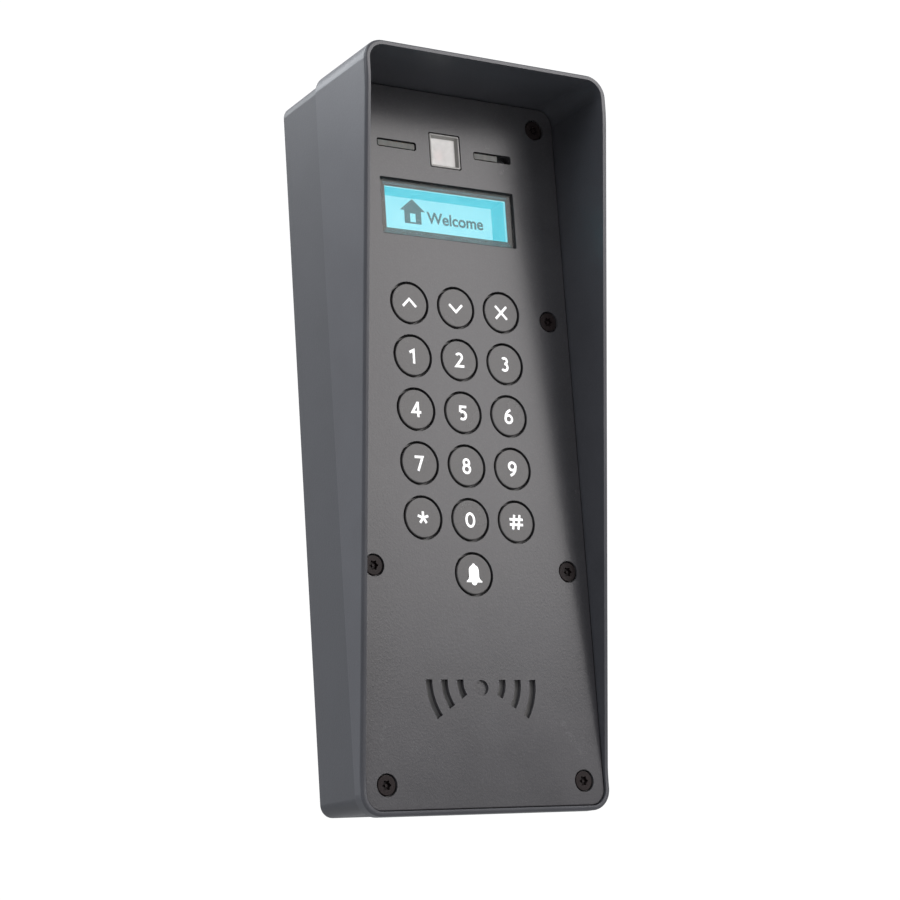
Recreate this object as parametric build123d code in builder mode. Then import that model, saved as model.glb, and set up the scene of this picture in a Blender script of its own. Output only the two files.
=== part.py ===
"""Surface-mounted door intercom panel: back box, rain hood, keypad, display and camera.

Millimetres, +Z up.  The wall is the plane Y = 0, the panel faces -Y, and the origin is
the centre of the rear face.  Every outline is drawn on front(depth), a plane that faces
the visitor at that distance from the wall, so all depths below count from the wall.
"""

import os
from math import asin, cos, degrees, radians, sin

from build123d import *

# ---- overall ---------------------------------------------------------------
HOOD_W, HOOD_H = 104.7, 272.0        # rain hood at its front rim
HOOD_DEPTH = 67.0                    # reach of the roof
HOOD_RIM_LOW = 34.7                  # reach of the hood's bottom edge
HOOD_SLANT_Z = (-122.4, 121.1)       # heights where the side walls' slant starts and ends
HOOD_REAR = 29.8                     # where the hood's outer walls end
HOOD_RADIUS = 8.0
HOOD_INNER_W, HOOD_INNER_H, HOOD_INNER_RADIUS = 100.6, 268.3, 6.2
HOOD_WINDOW_W, HOOD_WINDOW_H = 73.0, 252.0
HOOD_DRAFT = 0.3                     # degrees
HOOD_BEND_RADIUS = 60.0              # where the side walls' front edge changes direction
HOOD_RIM_FILLET = 1.1
LINING_RADIUS = 5.0                  # corners of the hood's window, its spigot and the seal

BOX_W, BOX_H, BOX_RADIUS = 100.8, 268.1, 5.2
BOX_DRAFT = 1.0                      # degrees
BOX_REAR_FILLET = 0.6
BOX_FRONT = 29.3
BOX_FLOOR = 2.5
BOX_WALL = 2.1
LEDGE = 2.0                          # step inside the box rim that carries the seal
SPIGOT_CLEARANCE = 0.2
SEAL_BAND = 1.6
FLOOR_RIB_ROWS = (90.0, 20.0, -20.0)
FLOOR_RIB_L, FLOOR_RIB_T, FLOOR_RIB_H = 70.0, 1.6, 3.0

PANEL_W, PANEL_H, PANEL_RADIUS = 100.1, 267.8, 5.9
PANEL_EDGE_FILLET = 0.45
FACE = 33.8                          # front face of the panel
PANEL_T = 3.0
PANEL_BACK = FACE - PANEL_T
FLANGE_BACK = 29.2                   # rear of the hood's inner flange
SEAL_BACK = 28.2
GASKET_W, GASKET_H, GASKET_BAND = 95.1, 262.3, 1.7
GASKET_RADIUS, GASKET_T = 3.9, 1.2
GASKET_PLAY = 0.15                   # to each wall of the groove

# ---- panel screws: four down each side ------------------------------------------
SCREW_X = 41.45
SCREW_ROWS = (125.1, 48.1, -48.1, -125.1)
SCREW_POINTS = [(side * SCREW_X, z) for side in (-1, 1) for z in SCREW_ROWS]
SCREW_SEAT = FACE - 2.0
SCREW_HEAD_R, SCREW_HEAD_H = 3.6, 1.65
SCREW_HEAD_FILLET = 0.3
SCREW_R, SCREW_LENGTH = 2.0, 12.0
COUNTERBORE_R = 4.15
SCREW_HOLE_R = 2.25
RECESS_R, RECESS_LOBE_R, RECESS_DEPTH = 1.45, 0.42, 1.3   # six-lobe drive
RECESS_PIN_R, RECESS_PIN_DROP = 0.5, 0.4
POST_R = 4.5                         # box posts that the screws thread into
POST_BORE_CLEARANCE = 0.15
POST_RIB_X, POST_RIB_W, POST_RIB_T = 44.5, 6.0, 3.0
POST_RIB_STEP = 6.0                  # how far the ribs stop below the seal's ledge

# ---- keypad ---------------------------------------------------------------
KEY_PITCH = 20.0
KEY_TOP_ROW_Z = 49.75
KEY_NAMES = (
    ("up", "down", "cancel"),
    ("1", "2", "3"),
    ("4", "5", "6"),
    ("7", "8", "9"),
    ("star", "0", "hash"),
    ("bell",),
)
KEY_R = 7.35
KEY_EDGE_FILLET = 0.35
KEY_HOLE_R = 8.2
KEY_LIP_R = 8.75
KEY_LIP_FRONT, KEY_LIP_BACK = 30.7, 29.9
KEY_WALL = 1.2
KEY_POST_R = 2.5
DOME_TOP = 29.5
LEGEND_DEPTH = 0.4
STROKE = 0.93                        # pen width of the legends
PIP_R, PIP_HEIGHT, PIP_DROP = 0.6, 0.3, 1.0   # raised dot on the 5
PIP_FILLET = 0.2
MAT_W, MAT_H, MAT_T = 53.6, 117.0, 1.0
MAT_Z = -0.25
MAT_RADIUS = 3.0
DOME_R, DOME_TAPER = 4.6, 30.0

# ---- head of the panel: camera, two light pipes, microphone, display -------------
EYE_Z = 111.05
CAMERA_HOLE, BEZEL_SIZE = 13.8, 13.1
BEZEL_LIP = 0.7                      # flat front ring, outside the sloping faces
BEZEL_FILLET = 0.28
BEZEL_BACK, BEZEL_FLANGE, BEZEL_FLANGE_RADIUS = 30.0, 16.2, 1.0
PANE_OPENING, PANE_SIZE, PANE_FRONT, PANE_T = 10.4, 11.5, 32.3, 1.0
PANE_PLAY = 0.15
MODULE_BOARD, MODULE_BODY, MODULE_RADIUS = 20.0, 12.4, 1.0
MODULE_BOARD_T, MODULE_BODY_H = 1.2, 2.2
BARREL = (                           # lens barrel, radius and depth round its section
    (2.2, 27.8), (5.2, 27.8), (5.2, 28.6), (4.3, 28.6), (4.3, 29.9), (3.9, 29.9), (2.2, 29.0),
)
LENS_R, LENS_BACK, LENS_RIM, LENS_CROWN = 2.15, 27.8, 28.7, 29.3
OPENING_RADIUS = 0.7                 # corners of the camera and display openings
SLOT_W, SLOT_H, SLOT_X = 16.9, 3.3, 21.1
SLOT_RADIUS = 0.9
PIPE_GAP = 0.35                      # round each light pipe in its slot
LEFT_PIPE_W, RIGHT_PIPE_W = SLOT_W - 2 * PIPE_GAP, 10.8
PIPE_H, PIPE_FRONT = SLOT_H - 2 * PIPE_GAP, 33.4
PIPE_RADIUS, PIPE_EDGE_FILLET = 0.65, 0.3
PIPE_SHOULDER, PIPE_SHOULDER_T = 0.6, 1.0
PIPE_LEG_INSET, PIPE_LEG_H, PIPE_LEG_L = 1.5, 2.2, 2.2
MIC_X = 28.2
MIC_BOOT_W, MIC_BOOT_H, MIC_BOOT_RADIUS = 6.4, 8.4, 0.8
MIC_PORT_R, MIC_BOOT_SKIN = 1.1, 1.2
MIC_R, MIC_PLAY, MIC_INLET_R, MIC_INLET_DEPTH = 2.5, 0.1, 0.5, 0.8
DISPLAY_Z = 86.75
DISPLAY_OPENING = (58.6, 22.0)
DISPLAY_AREA = (53.4, 16.35)
DISPLAY_WINDOW = (57.5, 20.9)        # bonded to the frame, with a sealed gap all round
WINDOW_FRONT, WINDOW_BACK = 33.45, 32.3
FRAME_W, FRAME_H, FRAME_SHEET = 63.6, 26.6, 0.4
FRAME_WALL, FRAME_RADIUS = 0.6, 1.0
FRAME_POCKET_FRONT = 32.5            # floor of the panel's rear pocket that takes the frame
FRAME_POCKET_PLAY, FRAME_POCKET_RADIUS = 0.25, 1.5
WINDOW_RADIUS, WINDOW_FILLET = 0.5, 0.2
GLASS_W, GLASS_H, GLASS_T = 58.0, 21.0, 1.8
GLASS_BACK = WINDOW_BACK - FRAME_SHEET - GLASS_T
LAMP_BOX_BACK, LAMP_BOX_FLOOR = 20.4, 21.6
LAMP_BOX_MARGIN = 0.3                # lamp box opening beyond the display area

# ---- loudspeaker -------------------------------------------------------------
SPEAKER_Z = -89.5
SPEAKER_R = 25.0
SPEAKER_RING_PLAY, SPEAKER_RING_T, SPEAKER_RING_H = 0.3, 1.5, 2.4
BASKET = (                           # radius and depth round the loudspeaker's section
    (0, 12.4), (14.5, 12.4), (14.5, 19.0), (16.5, 19.0), (SPEAKER_R, 27.6),
    (SPEAKER_R, 29.6), (22.6, 29.6), (22.6, 28.2), (15.2, 20.6), (0, 20.6),
)
CONE_RIM_R, CONE_RIM_FRONT, CONE_T = 24.8, 30.0, 0.4
SURROUND_R, SURROUND_W, SURROUND_H = 21.2, 1.0, 0.4       # half-roll between rim and cone
DUST_CAP_R, DUST_CAP_RIM, DUST_CAP_CROWN = 9.0, 24.2, 26.6
SPEAKER_GASKET_PLAY, SPEAKER_GASKET_W = 0.1, 2.1
SOUND_SLOT_RADII = (8.95, 15.5, 21.9)
SOUND_SLOT_W = 2.65
SOUND_SLOT_TOP = 1.1                 # the slots' flat upper ends, above the speaker's centre
SOUND_SLOT_END = 34.0                # degrees below the horizontal
DIMPLE_R, DIMPLE_DROP, DIMPLE_DEPTH = 2.8, 1.8, 1.0

# ---- electronics --------------------------------------------------------------
BOARD_FRONT, BOARD_BACK = 27.2, 25.6
BOARD_W, BOARD_H, BOARD_Z = 67.0, 187.0, 29.5
MODULE_SCREW_X = 30.4
MODULE_SCREW_ROWS = (120.0, 66.0, 0.0, -60.0)
MODULE_END_Z = -120.0                # last pair of posts, below the board
BOARD_POINTS = [(side * MODULE_SCREW_X, z) for side in (-1, 1) for z in MODULE_SCREW_ROWS]
END_POINTS = [(side * MODULE_SCREW_X, MODULE_END_Z) for side in (-1, 1)]
BOARD_RADIUS = 2.0
CAMERA_CUTOUT, DISPLAY_CUTOUT_PLAY = 13.4, 0.4
CHIPS = ((-12, 52, 17, 17), (12, 55, 12, 10), (16, -10, 9, 7), (-18, -8, 9, 7))   # x, z, w, h
CHIP_T = 1.4
CAPACITORS = ((12, -48), (21, -48), (12, -38))
CAPACITOR_R, CAPACITOR_H = 3.6, 8.0
BOSS_R, BOSS_BORE_R, BOSS_SKIN = 3.0, 1.6, 1.4            # threaded bosses behind the panel
COVER_W, COVER_H, COVER_BACK, COVER_T = 71.0, 250.0, 10.0, 1.6
COVER_RADIUS, COVER_REAR_FILLET = 4.0, 1.0
COVER_POST_R, COVER_PLAY = 3.8, 0.5
MODULE_SCREW_SEAT = 12.6
MODULE_SCREW_R, MODULE_SCREW_L, MODULE_SCREW_HOLE_R = 1.5, 19.2, 1.7
MODULE_HEAD_R, MODULE_HEAD_H, MODULE_HEAD_WELL_R = 2.75, 2.2, 3.0
CROSS_L, CROSS_W, CROSS_DEPTH = 3.0, 0.6, 1.2
JACK_X, JACK_Z, JACK_SIZE, JACK_BACK = -14.0, -36.0, 16.2, 10.6
PLUG_W, PLUG_H, PLUG_DEPTH = 11.8, 6.8, 12.0
LATCH_W, LATCH_H, LATCH_DROP = 6.2, 3.2, 4.5
TERMINAL_W, TERMINAL_H, TERMINAL_Z, TERMINAL_BACK = 42.0, 12.0, 22.0, 12.2
TERMINAL_PITCH, TERMINAL_WAYS, TERMINAL_DEPTH = 5.08, 8, 8.0
WIRE_W, WIRE_H, WIRE_DROP = 3.4, 4.0, 2.6
CLAMP_R, CLAMP_RISE = 1.7, 2.8

# ---- wall fixing ----------------------------------------------------------------
WALL_HOLE_X, WALL_HOLE_Z = 60.0, 210.0   # spacing, hole to hole
WALL_SLOT_L, WALL_SLOT_R = 9.0, 2.6
ENTRY_Z = -66.0
ENTRY_R = 6.0                        # cable bore of the grommet
GROMMET_R, GROMMET_LIP_R = 11.8, 15.0
GROMMET_WEB = (1.6, 4.6)             # the box wall that the grommet grips
GROMMET_PROUD = 0.2                  # how far the rear lip stays in front of the wall
GROMMET_NOSE_H, GROMMET_NOSE_TAPER = 1.6, 20.0
GROMMET_LIP_PLAY, GROMMET_PLAY = 0.3, 0.1
ENTRY_LAND_R = 19.0


def front(depth):
    """Plane facing the visitor, this far from the wall; local x is X and local y is Z."""
    return Plane.XZ.offset(depth)


def key_face(x, z, depth=FACE):
    """The same plane with its origin on a key's axis."""
    return Plane(origin=(x, -depth, z), x_dir=(1, 0, 0), z_dir=(0, -1, 0))


def finish(part, name):
    """Label a finished piece and write its file."""
    part.label = name
    export_step(part, f"parts/{name}.step")


def key_layout():
    """Every key's name and centre, row by row from the top."""
    layout = []
    for row, names in enumerate(KEY_NAMES):
        for column, name in enumerate(names):
            x = (column - (len(names) - 1) / 2) * KEY_PITCH
            layout.append((name, x, KEY_TOP_ROW_Z - row * KEY_PITCH))
    return layout


KEYS = key_layout()
KEY_POINTS = [(x, z) for name, x, z in KEYS]
os.makedirs("parts", exist_ok=True)


# ======================= back box =======================
with BuildPart() as back_box:
    with BuildSketch(front(BOX_FRONT)):
        RectangleRounded(BOX_W, BOX_H, BOX_RADIUS)
    extrude(amount=-BOX_FRONT, taper=BOX_DRAFT)
    fillet(back_box.faces().sort_by(Axis.Y)[-1].edges(), BOX_REAR_FILLET)
    lining = BOX_WALL + LEDGE
    with BuildSketch(front(BOX_FLOOR)):
        RectangleRounded(BOX_W - 2 * lining, BOX_H - 2 * lining, BOX_RADIUS - lining)
    extrude(amount=BOX_FRONT, mode=Mode.SUBTRACT)
    with BuildSketch(front(SEAL_BACK)):
        RectangleRounded(BOX_W - 2 * BOX_WALL, BOX_H - 2 * BOX_WALL, BOX_RADIUS - BOX_WALL)
    extrude(amount=BOX_FRONT, mode=Mode.SUBTRACT)
    # screw posts, each tied to the side wall by a rib
    with BuildSketch(front(BOX_FLOOR)):
        with Locations(*SCREW_POINTS):
            Circle(POST_R)
    extrude(amount=FLANGE_BACK - BOX_FLOOR)
    with BuildSketch(front(BOX_FLOOR)):
        with Locations(*[(side * POST_RIB_X, z) for side in (-1, 1) for z in SCREW_ROWS]):
            Rectangle(POST_RIB_W, POST_RIB_T)
    extrude(amount=SEAL_BACK - POST_RIB_STEP - BOX_FLOOR)
    with BuildSketch(front(FLANGE_BACK)):
        with Locations(*SCREW_POINTS):
            Circle(SCREW_R + POST_BORE_CLEARANCE)
    extrude(amount=-SCREW_LENGTH, mode=Mode.SUBTRACT)
    # thickened land round the cable entry, recessed on the wall side for the grommet's lip
    with BuildSketch(front(BOX_FLOOR)):
        with Locations((0, ENTRY_Z)):
            Circle(ENTRY_LAND_R)
    extrude(amount=GROMMET_WEB[1] - BOX_FLOOR)
    with BuildSketch(front(0)):
        with Locations((0, ENTRY_Z)):
            Circle(GROMMET_LIP_R + GROMMET_LIP_PLAY)
    extrude(amount=GROMMET_WEB[0], mode=Mode.SUBTRACT)
    with BuildSketch(front(0)):
        with Locations((0, ENTRY_Z)):
            Circle(GROMMET_R + GROMMET_PLAY)
    extrude(amount=GROMMET_WEB[1], mode=Mode.SUBTRACT)
    # slotted wall holes
    with BuildSketch(front(0)):
        with GridLocations(WALL_HOLE_X, WALL_HOLE_Z, 2, 2):
            SlotOverall(WALL_SLOT_L, 2 * WALL_SLOT_R)
    extrude(amount=BOX_FLOOR, mode=Mode.SUBTRACT)
    # stiffening ribs across the floor
    with BuildSketch(front(BOX_FLOOR)):
        with Locations(*[(0, z) for z in FLOOR_RIB_ROWS]):
            Rectangle(FLOOR_RIB_L, FLOOR_RIB_T)
    extrude(amount=FLOOR_RIB_H)
finish(back_box.part, "back_box")

with BuildPart() as cable_grommet:
    with BuildSketch(front(GROMMET_PROUD)):
        with Locations((0, ENTRY_Z)):
            Circle(GROMMET_LIP_R)
    extrude(amount=GROMMET_WEB[0] - GROMMET_PROUD)
    with BuildSketch(front(GROMMET_WEB[0])):
        with Locations((0, ENTRY_Z)):
            Circle(GROMMET_R)
    extrude(amount=GROMMET_WEB[1] - GROMMET_WEB[0])
    with BuildSketch(front(GROMMET_WEB[1])):
        with Locations((0, ENTRY_Z)):
            Circle(GROMMET_LIP_R)
    extrude(amount=GROMMET_NOSE_H, taper=GROMMET_NOSE_TAPER)
    with BuildSketch(front(0)):
        with Locations((0, ENTRY_Z)):
            Circle(ENTRY_R)
    extrude(amount=GROMMET_WEB[1] + GROMMET_NOSE_H, mode=Mode.SUBTRACT)
finish(cable_grommet.part, "cable_grommet")

SPIGOT_W = BOX_W - 2 * (BOX_WALL + SPIGOT_CLEARANCE)
SPIGOT_H = BOX_H - 2 * (BOX_WALL + SPIGOT_CLEARANCE)
with BuildPart() as box_seal:
    with BuildSketch(front(SEAL_BACK)):
        RectangleRounded(SPIGOT_W, SPIGOT_H, LINING_RADIUS)
        RectangleRounded(
            SPIGOT_W - 2 * SEAL_BAND,
            SPIGOT_H - 2 * SEAL_BAND,
            LINING_RADIUS - SEAL_BAND,
            mode=Mode.SUBTRACT,
        )
    extrude(amount=FLANGE_BACK - SEAL_BACK)
finish(box_seal.part, "box_seal")


# ======================= rain hood =======================
def is_rim_edge(edge):
    """True for the outline of the rim, false for the lines across its bends."""
    across = edge.geom_type == GeomType.LINE and abs(edge.tangent_at(0.5).X) > 0.99
    return not across or abs(edge.center().Z) > HOOD_H / 2 - 5


with BuildPart() as rain_hood:
    with BuildSketch(front(HOOD_DEPTH)):
        RectangleRounded(HOOD_W, HOOD_H, HOOD_RADIUS)
    extrude(amount=HOOD_REAR - HOOD_DEPTH, taper=HOOD_DRAFT)
    # side view: low at the bottom, slanting out to a straight stretch under the roof
    with BuildSketch(Plane.YZ) as side_view:
        with BuildLine():
            Polyline(
                (-HOOD_REAR, -HOOD_H / 2),
                (-HOOD_RIM_LOW, -HOOD_H / 2),
                (-HOOD_RIM_LOW, HOOD_SLANT_Z[0]),
                (-HOOD_DEPTH, HOOD_SLANT_Z[1]),
                (-HOOD_DEPTH, HOOD_H / 2),
                (-HOOD_REAR, HOOD_H / 2),
                close=True,
            )
        make_face()
        bends = side_view.vertices().filter_by(lambda v: abs(v.Y) < HOOD_H / 2 - 5)
        fillet(bends, HOOD_BEND_RADIUS)
    extrude(amount=HOOD_W, both=True, mode=Mode.INTERSECT)
    rim_faces = rain_hood.faces().filter_by(lambda f: f.normal_at().Y < -0.5)
    fillet(rim_faces.edges().filter_by(is_rim_edge), HOOD_RIM_FILLET)
    with BuildSketch(front(PANEL_BACK)):
        RectangleRounded(HOOD_INNER_W, HOOD_INNER_H, HOOD_INNER_RADIUS)
    extrude(amount=HOOD_DEPTH, mode=Mode.SUBTRACT)
    with BuildSketch(front(HOOD_REAR)):
        RectangleRounded(SPIGOT_W, SPIGOT_H, LINING_RADIUS)
    extrude(amount=FLANGE_BACK - HOOD_REAR)
    with BuildSketch(front(PANEL_BACK)):
        RectangleRounded(HOOD_WINDOW_W, HOOD_WINDOW_H, LINING_RADIUS)
        with Locations(*SCREW_POINTS):
            Circle(SCREW_HOLE_R)
    extrude(amount=FLANGE_BACK - PANEL_BACK, mode=Mode.SUBTRACT)
finish(rain_hood.part, "rain_hood")


# ======================= front panel =======================
def sound_slot(radius, side):
    """One curved slot beside the loudspeaker's centre: level on top, cut square below."""
    low = radians(-SOUND_SLOT_END)
    reach = 2 * radius
    with BuildSketch() as slot:
        Circle(radius + SOUND_SLOT_W / 2)
        Circle(radius - SOUND_SLOT_W / 2, mode=Mode.SUBTRACT)
        with BuildLine():
            Polyline(
                (0, SOUND_SLOT_TOP),
                (0, 0),
                (reach * cos(low), reach * sin(low)),
                (reach, SOUND_SLOT_TOP),
                close=True,
            )
        make_face(mode=Mode.INTERSECT)
        if side < 0:
            mirror(about=Plane.YZ, mode=Mode.REPLACE)
    return slot.sketch


def gasket_band(play):
    """Outline of the panel gasket, or of its groove when there is play on both sides."""
    inset = 2 * (GASKET_BAND + play)
    outer_w, outer_h = GASKET_W + 2 * play, GASKET_H + 2 * play
    inner_w, inner_h = outer_w - inset - 2 * play, outer_h - inset - 2 * play
    with BuildSketch() as band:
        RectangleRounded(outer_w, outer_h, GASKET_RADIUS + play)
        RectangleRounded(inner_w, inner_h, GASKET_RADIUS - GASKET_BAND - play, mode=Mode.SUBTRACT)
    return band.sketch


with BuildPart() as front_panel:
    with BuildSketch(front(PANEL_BACK)):
        RectangleRounded(PANEL_W, PANEL_H, PANEL_RADIUS)
    extrude(amount=PANEL_T)
    fillet(front_panel.faces().sort_by(Axis.Y)[0].edges(), PANEL_EDGE_FILLET)
    # bosses that the board, the cover and their screws are pulled against
    with BuildSketch(front(PANEL_BACK)):
        with Locations(*BOARD_POINTS):
            Circle(BOSS_R)
    extrude(amount=BOARD_FRONT - PANEL_BACK)
    with BuildSketch(front(PANEL_BACK)):
        with Locations(*END_POINTS):
            Circle(BOSS_R)
    extrude(amount=BOARD_BACK - PANEL_BACK)
    with BuildSketch(front(BOARD_BACK)):
        with Locations(*BOARD_POINTS, *END_POINTS):
            Circle(BOSS_BORE_R)
    extrude(amount=FACE - BOSS_SKIN - BOARD_BACK, mode=Mode.SUBTRACT)
    # ring that centres the loudspeaker
    with BuildSketch(front(PANEL_BACK)):
        with Locations((0, SPEAKER_Z)):
            Circle(SPEAKER_R + SPEAKER_RING_PLAY + SPEAKER_RING_T)
            Circle(SPEAKER_R + SPEAKER_RING_PLAY, mode=Mode.SUBTRACT)
    extrude(amount=-SPEAKER_RING_H)
    # openings through the face
    with BuildSketch(front(PANEL_BACK)):
        with Locations(*KEY_POINTS):
            Circle(KEY_HOLE_R)
        with Locations(*SCREW_POINTS):
            Circle(SCREW_HOLE_R)
        with Locations((0, EYE_Z)):
            RectangleRounded(CAMERA_HOLE, CAMERA_HOLE, OPENING_RADIUS)
        with Locations((-SLOT_X, EYE_Z), (SLOT_X, EYE_Z)):
            RectangleRounded(SLOT_W, SLOT_H, SLOT_RADIUS)
        with Locations((0, DISPLAY_Z)):
            RectangleRounded(*DISPLAY_OPENING, OPENING_RADIUS)
        with Locations((0, SPEAKER_Z)):
            for radius in SOUND_SLOT_RADII:
                add(sound_slot(radius, 1))
                add(sound_slot(radius, -1))
    extrude(amount=PANEL_T, mode=Mode.SUBTRACT)
    with BuildSketch(front(SCREW_SEAT)):
        with Locations(*SCREW_POINTS):
            Circle(COUNTERBORE_R)
    extrude(amount=PANEL_T, mode=Mode.SUBTRACT)
    # pocket for the display frame, and the dimple between the sound slots
    with BuildSketch(front(PANEL_BACK)):
        with Locations((0, DISPLAY_Z)):
            RectangleRounded(
                FRAME_W + 2 * FRAME_POCKET_PLAY,
                FRAME_H + 2 * FRAME_POCKET_PLAY,
                FRAME_POCKET_RADIUS,
            )
    extrude(amount=FRAME_POCKET_FRONT - PANEL_BACK, mode=Mode.SUBTRACT)
    with BuildSketch(front(FACE - DIMPLE_DEPTH)):
        with Locations((0, SPEAKER_Z - DIMPLE_DROP)):
            Circle(DIMPLE_R)
    extrude(amount=PANEL_T, mode=Mode.SUBTRACT)
    # gasket groove, outboard of the screws
    with BuildSketch(front(PANEL_BACK)):
        add(gasket_band(GASKET_PLAY))
    extrude(amount=GASKET_T, mode=Mode.SUBTRACT)
finish(front_panel.part, "front_panel")

with BuildPart() as panel_gasket:
    with BuildSketch(front(PANEL_BACK)):
        add(gasket_band(0))
    extrude(amount=GASKET_T)
finish(panel_gasket.part, "panel_gasket")

with BuildPart() as panel_screws:
    with BuildSketch(front(SCREW_SEAT)):
        with Locations(*SCREW_POINTS):
            Circle(SCREW_HEAD_R)
    extrude(amount=SCREW_HEAD_H)
    head_rims = panel_screws.faces().filter_by(Axis.Y).group_by(Axis.Y)[0].edges()
    fillet(head_rims, SCREW_HEAD_FILLET)
    with BuildSketch(front(SCREW_SEAT)):
        with Locations(*SCREW_POINTS):
            Circle(SCREW_R)
    extrude(amount=-SCREW_LENGTH)
    # six-lobe recess with a centre pin
    with BuildSketch(front(SCREW_SEAT + SCREW_HEAD_H)):
        for point in SCREW_POINTS:
            with Locations(point):
                Circle(RECESS_R)
                with PolarLocations(RECESS_R, 6):
                    Circle(RECESS_LOBE_R)
    extrude(amount=-RECESS_DEPTH, mode=Mode.SUBTRACT)
    with BuildSketch(front(SCREW_SEAT + SCREW_HEAD_H - RECESS_DEPTH)):
        with Locations(*SCREW_POINTS):
            Circle(RECESS_PIN_R)
    extrude(amount=RECESS_DEPTH - RECESS_PIN_DROP)
finish(panel_screws.part, "panel_screws")


# ======================= camera =======================
def section_points(outline):
    """Radius and depth pairs as points in an axial half-plane, where depth runs along -Y."""
    return [(radius, -depth) for radius, depth in outline]


def dome_arc(radius, rim, crown):
    """Arc in an axial half-plane from the rim of a spherical cap to its crown, by depth."""
    height = crown - rim
    ball = (radius**2 + height**2) / (2 * height)
    sweep = degrees(asin(radius / ball))
    return CenterArc((0, ball - crown), ball, sweep - 90, -sweep)


with BuildPart() as camera_bezel:
    with BuildSketch(front(BEZEL_BACK)):
        with Locations((0, EYE_Z)):
            RectangleRounded(BEZEL_FLANGE, BEZEL_FLANGE, BEZEL_FLANGE_RADIUS)
    extrude(amount=PANEL_BACK - BEZEL_BACK)
    with BuildSketch(front(PANEL_BACK)):
        with Locations((0, EYE_Z)):
            RectangleRounded(BEZEL_SIZE, BEZEL_SIZE, OPENING_RADIUS)
    extrude(amount=FACE - PANEL_BACK)
    # the sloping inner faces that lead down to the pane
    with BuildSketch(front(FACE)):
        with Locations((0, EYE_Z)):
            Rectangle(BEZEL_SIZE - 2 * BEZEL_LIP, BEZEL_SIZE - 2 * BEZEL_LIP)
    with BuildSketch(front(PANE_FRONT)):
        with Locations((0, EYE_Z)):
            Rectangle(PANE_OPENING, PANE_OPENING)
    loft(mode=Mode.SUBTRACT)
    fillet(camera_bezel.faces().sort_by(Axis.Y)[0].edges(), BEZEL_FILLET)
    with BuildSketch(front(BEZEL_BACK)):
        with Locations((0, EYE_Z)):
            Rectangle(PANE_SIZE + 2 * PANE_PLAY, PANE_SIZE + 2 * PANE_PLAY)
    extrude(amount=PANE_FRONT - BEZEL_BACK, mode=Mode.SUBTRACT)
finish(camera_bezel.part, "camera_bezel")

with BuildPart() as camera_pane:
    with BuildSketch(front(PANE_FRONT)):
        with Locations((0, EYE_Z)):
            Rectangle(PANE_SIZE, PANE_SIZE)
    extrude(amount=-PANE_T)
finish(camera_pane.part, "camera_pane")

CAMERA_AXIS = Plane.XY.offset(EYE_Z)
with BuildPart() as camera_module:
    with BuildSketch(front(BOARD_BACK)):
        with Locations((0, EYE_Z)):
            RectangleRounded(MODULE_BOARD, MODULE_BOARD, MODULE_RADIUS)
    extrude(amount=-MODULE_BOARD_T)
    with BuildSketch(front(BOARD_BACK)):
        with Locations((0, EYE_Z)):
            RectangleRounded(MODULE_BODY, MODULE_BODY, MODULE_RADIUS)
    extrude(amount=MODULE_BODY_H)
    # stepped lens barrel round the camera's axis, with a cone in front of the glass
    with BuildSketch(CAMERA_AXIS):
        with BuildLine():
            Polyline(*section_points(BARREL), close=True)
        make_face()
    revolve(axis=Axis((0, 0, EYE_Z), (0, 1, 0)))
finish(camera_module.part, "camera_module")

with BuildPart() as camera_lens:
    with BuildSketch(CAMERA_AXIS):
        with BuildLine():
            Polyline(*section_points([(0, LENS_BACK), (LENS_R, LENS_BACK), (LENS_R, LENS_RIM)]))
            dome = dome_arc(LENS_R, LENS_RIM, LENS_CROWN)
            Line(dome @ 1, (0, -LENS_BACK))
        make_face()
    revolve(axis=Axis((0, 0, EYE_Z), (0, 1, 0)))
finish(camera_lens.part, "camera_lens")


# ======================= light pipes and microphone =======================
def light_pipe(x, width):
    """Clear bar that fills a slot, with a shoulder behind the panel and a leg to its lamp."""
    with BuildPart() as pipe:
        with BuildSketch(front(PANEL_BACK)):
            with Locations((x, EYE_Z)):
                RectangleRounded(width, PIPE_H, PIPE_RADIUS)
        extrude(amount=PIPE_FRONT - PANEL_BACK)
        fillet(pipe.faces().sort_by(Axis.Y)[0].edges(), PIPE_EDGE_FILLET)
        with BuildSketch(front(PANEL_BACK)):
            with Locations((x, EYE_Z)):
                Rectangle(width + 2 * PIPE_SHOULDER, SLOT_H + 2 * PIPE_SHOULDER)
        extrude(amount=-PIPE_SHOULDER_T)
        with BuildSketch(front(PANEL_BACK - PIPE_SHOULDER_T)):
            with Locations((x, EYE_Z)):
                Rectangle(width - 2 * PIPE_LEG_INSET, PIPE_LEG_H)
        extrude(amount=-PIPE_LEG_L)
    return pipe.part


finish(light_pipe(-SLOT_X, LEFT_PIPE_W), "light_pipe_left")
RIGHT_PIPE_X = SLOT_X - (SLOT_W - RIGHT_PIPE_W) / 2 + PIPE_GAP
finish(light_pipe(RIGHT_PIPE_X, RIGHT_PIPE_W), "light_pipe_right")

with BuildPart() as microphone_boot:
    with BuildSketch(front(PANEL_BACK)):
        with Locations((MIC_X, EYE_Z)):
            RectangleRounded(MIC_BOOT_W, MIC_BOOT_H, MIC_BOOT_RADIUS)
    extrude(amount=BOARD_FRONT - PANEL_BACK)
    with BuildSketch(front(PANEL_BACK)):
        with Locations((MIC_X, EYE_Z)):
            Circle(MIC_PORT_R)
    extrude(amount=-MIC_BOOT_SKIN, mode=Mode.SUBTRACT)
    with BuildSketch(front(PANEL_BACK - MIC_BOOT_SKIN)):
        with Locations((MIC_X, EYE_Z)):
            Circle(MIC_R + MIC_PLAY)
    extrude(amount=BOARD_FRONT - PANEL_BACK, mode=Mode.SUBTRACT)
finish(microphone_boot.part, "microphone_boot")

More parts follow.
